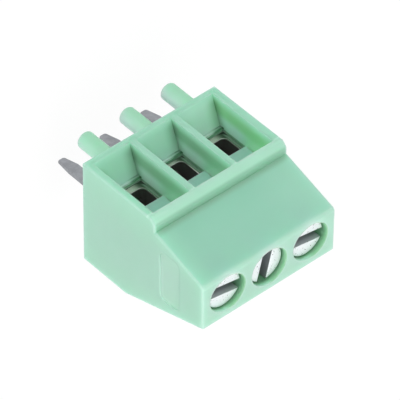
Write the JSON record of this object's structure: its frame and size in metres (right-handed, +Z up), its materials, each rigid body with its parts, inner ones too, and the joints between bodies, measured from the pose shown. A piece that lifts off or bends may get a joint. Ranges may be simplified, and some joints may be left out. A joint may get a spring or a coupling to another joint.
{
  "type": "pcb terminal block",
  "caption": "Screw terminal block for a circuit board, with square wire entries in front, slotted screws on top, round locating pegs and flat solder pins below.",
  "frame": {"origin": "middle solder pin's axis at the board plane", "axes": "+Z up from the board towards the screw face, -Y out of the wire entries, X along the row of poles"},
  "size_m": [0.0082, 0.0062, 0.0119],
  "materials": {
    "housing_green": "satin moulded polyamide, slightly translucent",
    "screw_zinc": "bright zinc plated",
    "cage_nickel": "nickel plated",
    "pin_tin": "matt tin plated"
  },
  "bodies": {
    "body": {"housing": "housing_green", "solder_pin_1": "pin_tin", "solder_pin_2": "pin_tin", "solder_pin_3": "pin_tin"},
    "screw_1": {"screw_1": "screw_zinc"},
    "clamp_cage_1": {"clamp_cage_1": "cage_nickel"},
    "screw_2": {"screw_2": "screw_zinc"},
    "clamp_cage_2": {"clamp_cage_2": "cage_nickel"},
    "screw_3": {"screw_3": "screw_zinc"},
    "clamp_cage_3": {"clamp_cage_3": "cage_nickel"}
  },
  "joints": [
    {"name": "screw_1_turn", "type": "hinge", "parent": "body", "child": "screw_1", "pos_m": [-0.00254, -0.00013, 0.0085], "axis": [0, 0, -1], "range_deg": [-144.1, 1090.4]},
    {"name": "clamp_cage_1_slide", "type": "slide", "parent": "body", "child": "clamp_cage_1", "axis": [0, 0, 1], "range_m": [-0.00014, 0.00106]},
    {"name": "screw_2_turn", "type": "hinge", "parent": "body", "child": "screw_2", "pos_m": [0, -0.00013, 0.0085], "axis": [0, 0, -1], "range_deg": [0, 1234.4]},
    {"name": "clamp_cage_2_slide", "type": "slide", "parent": "body", "child": "clamp_cage_2", "axis": [0, 0, 1], "range_m": [0, 0.0012]},
    {"name": "screw_3_turn", "type": "hinge", "parent": "body", "child": "screw_3", "pos_m": [0.00254, -0.00013, 0.0085], "axis": [0, 0, -1], "range_deg": [-185.2, 1049.2]},
    {"name": "clamp_cage_3_slide", "type": "slide", "parent": "body", "child": "clamp_cage_3", "axis": [0, 0, 1], "range_m": [-0.00018, 0.00102]}
  ],
  "couplings": [
    {"joint": "screw_1_turn", "follows": "clamp_cage_1_slide", "rad_per_m": 17952},
    {"joint": "screw_2_turn", "follows": "clamp_cage_2_slide", "rad_per_m": 17952},
    {"joint": "screw_3_turn", "follows": "clamp_cage_3_slide", "rad_per_m": 17952}
  ]
}
